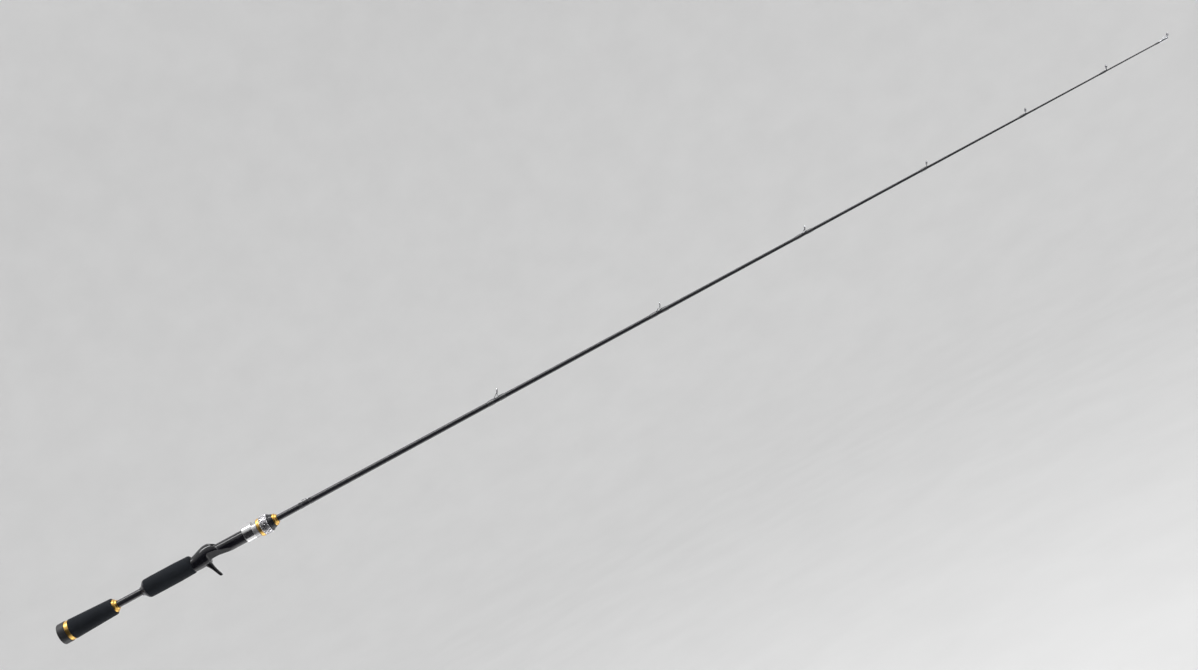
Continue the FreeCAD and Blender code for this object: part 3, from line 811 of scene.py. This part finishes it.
def keeper():
    """The wire hook keeper, with a whipping over each end."""
    softened("hook_keeper", voxel=0.10 * MM, rounds=8)
    whippings(
        "hook_keeper_wraps", middle_of("hook_keeper"), height=0.85 * MM, half_width=0.6 * MM,
        fall=0.0, reach=0.92, turn=keeper_turn(),
    )


SMOOTH_END = 8 * MM  # from the hood cover's rear end to the thread, where the smoothing stops
SMOOTH_FADE = 2 * MM  # length over which the smoothing fades out


def mouldings():
    """The reel seat and the sliding hood, with moulded edges; the thread keeps its crests."""
    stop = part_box("hood_cover")[0].x + SMOOTH_END

    def behind_thread(points):
        return np.clip((stop - points[:, 0]) / SMOOTH_FADE, 0, 1)

    softened("reel_seat_body", voxel=0.32 * MM, rounds=32, free=behind_thread)
    softened("sliding_hood", voxel=0.27 * MM, rounds=10)


# ---- stage --------------------------------------------------------------------------------

FLOOR_DROP = 1.3  # from the rod down to the floor
FLOOR_FLAT = 7.0  # radius of the floor before it sweeps up
SWEEP = 5.0  # radius of the sweep from the floor to the wall
WALL_TOP = 1.5 * SWEEP
SWEEP_STEPS, FLOOR_AROUND = 24, 96


def backdrop():
    """A pale round floor that sweeps up into a wall all the way round."""
    profile = [(0.0, 0.0), (FLOOR_FLAT, 0.0)]
    for step in range(1, SWEEP_STEPS + 1):
        a = math.pi / 2 * step / SWEEP_STEPS
        profile.append((FLOOR_FLAT + SWEEP * math.sin(a), SWEEP - SWEEP * math.cos(a)))
    profile.append((FLOOR_FLAT + SWEEP, WALL_TOP))
    bm = bmesh.new()
    ring = [bm.verts.new((r, 0, z)) for r, z in profile]
    edges = [bm.edges.new(pair) for pair in zip(ring, ring[1:])]
    bmesh.ops.spin(
        bm, geom=ring + edges, cent=(0, 0, 0), axis=(0, 0, 1), angle=FULL_TURN,
        steps=FLOOR_AROUND, use_merge=True,
    )
    bmesh.ops.remove_doubles(bm, verts=bm.verts, dist=0.1 * MM)
    bmesh.ops.recalc_face_normals(bm, faces=bm.faces)
    mesh = bpy.data.meshes.new("floor")
    bm.to_mesh(mesh)
    bm.free()
    mesh.polygons.foreach_set("use_smooth", [True] * len(mesh.polygons))
    floor = bpy.data.objects.new("floor", mesh)
    SCENE.collection.objects.link(floor)
    floor.location = (MIDDLE, 0, -FLOOR_DROP)
    g = Graph("floor_paper")
    tone = g.spread(g.noise(g.place(), 3.0), 0.3, 0.7)
    g.shade(Base_Color=g.mix(tone, rgb(0.80, 0.80, 0.80), rgb(0.83, 0.83, 0.83)), Roughness=0.9)
    mesh.materials.append(g.material)


def area_light(name, place, size, power):
    """A soft box that shines on the middle of the rod, and that no camera sees."""
    data = bpy.data.lights.new(name, "AREA")
    data.shape = "RECTANGLE"
    data.size, data.size_y = size
    data.energy = power
    lamp = bpy.data.objects.new(name, data)
    SCENE.collection.objects.link(lamp)
    lamp.location = place
    lamp.visible_camera = False
    lamp.rotation_mode = "QUATERNION"
    aim = Vector((MIDDLE, 0, 0))
    lamp.rotation_quaternion = (aim - Vector(place)).to_track_quat("-Z", "Y")


FLAG_RADIUS = 1.2  # of the dark card that curves round the rod's near side
FLAG_HALF_ANGLE = 68.0  # degrees up and down from straight in front
FLAG_HALF_LENGTH = 2.6
FLAG_STEPS = 24
FLAG_UPPER = (0.30, 0.84)  # heights, in flag radii, between which its upper part thins out
FLAG_LOWER = (-0.91, -0.80)  # heights between which its lower edge fades in


def flag():
    """A dark card in front, seen only in reflections, that gives gloss and metal a dark core."""
    bm = bmesh.new()
    rows = []
    for step in range(FLAG_STEPS + 1):
        a = math.radians(FLAG_HALF_ANGLE) * (2 * step / FLAG_STEPS - 1)
        y, z = -FLAG_RADIUS * math.cos(a), FLAG_RADIUS * math.sin(a)
        ends = [MIDDLE + side * FLAG_HALF_LENGTH for side in (-1, 1)]
        rows.append([bm.verts.new((x, y, z)) for x in ends])
    for lower, upper in zip(rows, rows[1:]):
        bm.faces.new((lower[0], lower[1], upper[1], upper[0]))
    mesh = bpy.data.meshes.new("flag")
    bm.to_mesh(mesh)
    bm.free()
    card = bpy.data.objects.new("flag", mesh)
    SCENE.collection.objects.link(card)
    for ray in ("camera", "diffuse", "transmission", "shadow", "volume_scatter"):
        setattr(card, "visible_" + ray, False)
    g = Graph("flag_cloth")
    split = g.node("SeparateXYZ", {"Vector": g.place()})
    height = g.math("DIVIDE", split.outputs["Z"], FLAG_RADIUS)
    upper = g.spread(height, *FLAG_UPPER, 1.0, 0.0)
    lower = g.spread(height, *FLAG_LOWER)
    g.shade(Base_Color=rgb(0.035, 0.035, 0.038), Roughness=1.0, Specular_IOR_Level=0.0)
    g.shade(Alpha=g.math("MULTIPLY", upper, lower))
    mesh.materials.append(g.material)


SKY = 0.85  # strength of the pale light from all round


def lights():
    """A long soft box overhead and a weak one below; pale sky, floor and walls do the rest."""
    area_light("strip_above", (MIDDLE, -0.35, 2.0), size=(4.0, 0.36), power=48.0)
    area_light("strip_below", (MIDDLE, 0.3, -1.15), size=(3.4, 0.26), power=6.0)
    world = bpy.data.worlds.new("studio")
    world.use_nodes = True
    background = world.node_tree.nodes["Background"]
    background.inputs["Color"].default_value = rgb(1.0, 1.0, 1.0)
    background.inputs["Strength"].default_value = SKY
    SCENE.world = world
    SCENE.view_settings.view_transform = "Standard"


CAMERA_PLACE = (0.8935, -2.089, 0.0124)
CAMERA_TILT = math.radians(28.365)  # how steeply the rod climbs across the picture
SENSOR, LENS = 36.0, 43.2  # width and focal length in millimetres


def camera():
    """The rod climbs to the right, seen square on from a little over 2 m."""
    data = bpy.data.cameras.new("camera")
    data.sensor_width = SENSOR
    data.lens = LENS
    data.clip_end = 100.0
    cam = bpy.data.objects.new("camera", data)
    SCENE.collection.objects.link(cam)
    right = Vector((math.cos(CAMERA_TILT), 0, -math.sin(CAMERA_TILT)))
    up = Vector((math.sin(CAMERA_TILT), 0, math.cos(CAMERA_TILT)))
    turn = Matrix((right, up, right.cross(up))).transposed().to_4x4()
    cam.matrix_world = Matrix.Translation(CAMERA_PLACE) @ turn
    SCENE.camera = cam


dress_nodes()
turned_pieces()
knurled_ring()
hood_cover()
mouldings()
guides()
tip_top()
keeper()
backdrop()
flag()
lights()
camera()
